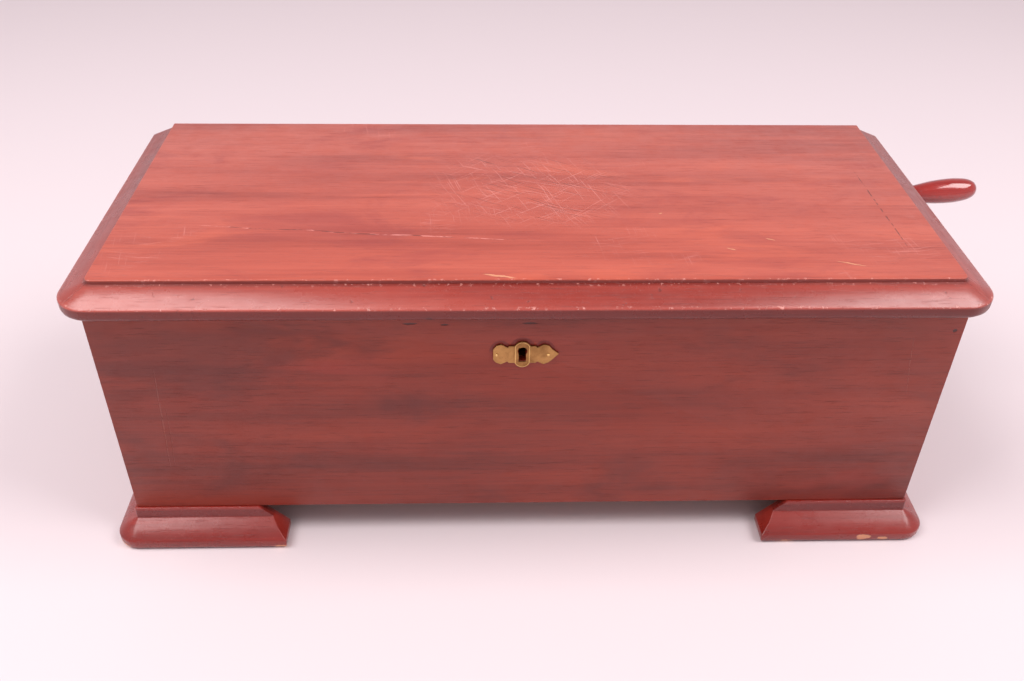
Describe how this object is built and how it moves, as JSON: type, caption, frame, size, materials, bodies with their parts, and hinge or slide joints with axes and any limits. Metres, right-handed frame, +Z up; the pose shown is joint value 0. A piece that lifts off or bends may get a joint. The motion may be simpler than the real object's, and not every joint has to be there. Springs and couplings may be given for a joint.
{
  "type": "wind up music box",
  "caption": "Long veneered case on bracket feet with a moulded hinged lid, an inner glass lid, a side winding crank, and a pinned-cylinder and comb movement.",
  "frame": {"origin": "middle of the footprint of the whole object, crank included, on the surface it stands on", "axes": "+X towards the crank end, -Y towards the front with the keyhole, +Z up"},
  "size_m": [0.7372, 0.2832, 0.2418],
  "materials": {
    "case_wood": "glossy dark red-brown varnish over veneer",
    "lid_wood": "glossy red-brown varnish over veneer",
    "plain_wood": "bare pine",
    "inner_wood": "ebonised",
    "glass": "clear",
    "brass": "aged, satin",
    "steel": "ground",
    "blued_steel": "blued spring temper",
    "cast_iron": "bronze paint"
  },
  "bodies": {
    "case": {"front_panel": "case_wood", "back_panel": "case_wood", "left_panel": "case_wood", "right_panel": "case_wood", "foot_front_left": "case_wood", "foot_front_right": "case_wood", "foot_back_left": "case_wood", "foot_back_right": "case_wood", "bottom_board": "plain_wood", "partition_left": "inner_wood", "partition_right": "inner_wood", "escutcheon": "brass", "lock_case": "brass", "winding_bush": "brass", "spring_bracket_outer": "brass", "spring_bracket_inner": "brass", "cylinder_bearing": "brass", "governor_frame": "brass", "lever_stand": "brass", "inner_lid_pin_left": "brass", "inner_lid_pin_right": "brass", "hinge_left_case_leaf": "brass", "hinge_left_pin": "brass", "hinge_right_case_leaf": "brass", "hinge_right_pin": "brass", "comb": "steel", "click_spring": "blued_steel", "bedplate": "cast_iron", "comb_base": "cast_iron"},
    "lid": {"lid_board": "lid_wood", "lid_moulding_front": "lid_wood", "lid_moulding_left": "lid_wood", "lid_moulding_right": "lid_wood", "lock_staple": "brass", "hinge_left_lid_leaf": "brass", "hinge_right_lid_leaf": "brass"},
    "inner_lid": {"inner_lid_frame": "inner_wood", "inner_lid_glass": "glass"},
    "lock_bolt": {"lock_bolt": "steel"},
    "crank": {"winding_shaft": "steel", "winding_pinion": "steel", "crank_arm": "steel", "crank_nut": "steel", "grip_pin": "steel"},
    "crank_grip": {"crank_grip": "case_wood"},
    "barrel_arbor": {"barrel_arbor": "steel", "winding_wheel": "brass", "ratchet_wheel": "steel"},
    "click": {"click": "steel"},
    "spring_barrel": {"spring_barrel": "brass", "barrel_cap": "brass", "mainspring": "blued_steel"},
    "cylinder": {"cylinder_arbor": "steel", "cylinder_great_wheel": "brass", "pinned_cylinder": "brass"},
    "first_wheel": {"governor_first_wheel": "brass"},
    "second_wheel": {"governor_second_wheel": "brass"},
    "worm": {"governor_worm": "steel", "governor_fan": "brass"},
    "start_lever": {"start_lever": "steel"}
  },
  "joints": [
    {"name": "lid_hinge", "type": "hinge", "parent": "case", "child": "lid", "pos_m": [-0.04059, 0.13864, 0.2204], "axis": [-1, 0, 0], "range_deg": [0, 100]},
    {"name": "inner_lid_hinge", "type": "hinge", "parent": "case", "child": "inner_lid", "pos_m": [-0.04059, 0.11044, 0.1992], "axis": [-1, 0, 0], "range_deg": [0, 90]},
    {"name": "lock_bolt_slide", "type": "slide", "parent": "case", "child": "lock_bolt", "axis": [1, 0, 0], "range_m": [0, 0.006]},
    {"name": "crank_turn", "type": "hinge", "parent": "case", "child": "crank", "pos_m": [0.28741, 0.08344, 0.13374], "axis": [1, 0, 0], "continuous": true},
    {"name": "grip_spin", "type": "hinge", "parent": "crank", "child": "crank_grip", "pos_m": [0.28741, 0.09244, 0.19276], "axis": [0.9961, 0.0401, 0.0784], "continuous": true},
    {"name": "barrel_arbor_turn", "type": "hinge", "parent": "case", "child": "barrel_arbor", "pos_m": [-0.28059, 0.0495, 0.0998], "axis": [1, 0, 0], "continuous": true},
    {"name": "click_pivot", "type": "hinge", "parent": "case", "child": "click", "pos_m": [-0.27359, 0.028, 0.1368], "axis": [-1, 0, 0], "range_deg": [0, 12]},
    {"name": "cylinder_turn", "type": "hinge", "parent": "case", "child": "cylinder", "pos_m": [-0.04059, 0.0015, 0.0998], "axis": [1, 0, 0], "continuous": true},
    {"name": "barrel_turn", "type": "hinge", "parent": "case", "child": "spring_barrel", "pos_m": [-0.21259, 0.0495, 0.0998], "axis": [1, 0, 0], "continuous": true},
    {"name": "first_wheel_turn", "type": "hinge", "parent": "case", "child": "first_wheel", "pos_m": [0.11091, -0.03675, 0.11005], "axis": [1, 0, 0], "continuous": true},
    {"name": "second_wheel_turn", "type": "hinge", "parent": "case", "child": "second_wheel", "pos_m": [0.12391, -0.0568, 0.09983], "axis": [1, 0, 0], "continuous": true},
    {"name": "worm_turn", "type": "hinge", "parent": "case", "child": "worm", "pos_m": [0.14141, -0.0712, 0.09983], "axis": [0, 0, 1], "continuous": true},
    {"name": "start_lever_swing", "type": "hinge", "parent": "case", "child": "start_lever", "pos_m": [0.18541, -0.05756, 0.0698], "axis": [1, 0, 0], "range_deg": [-10, 10]}
  ],
  "couplings": [
    {"joint": "inner_lid_hinge", "follows": "lid_hinge", "ratio": 0.9},
    {"joint": "barrel_arbor_turn", "follows": "crank_turn", "ratio": -0.33333},
    {"joint": "barrel_turn", "follows": "cylinder_turn", "ratio": -0.33333},
    {"joint": "first_wheel_turn", "follows": "cylinder_turn", "ratio": -5},
    {"joint": "second_wheel_turn", "follows": "cylinder_turn", "ratio": 20},
    {"joint": "worm_turn", "follows": "cylinder_turn", "ratio": 480}
  ]
}
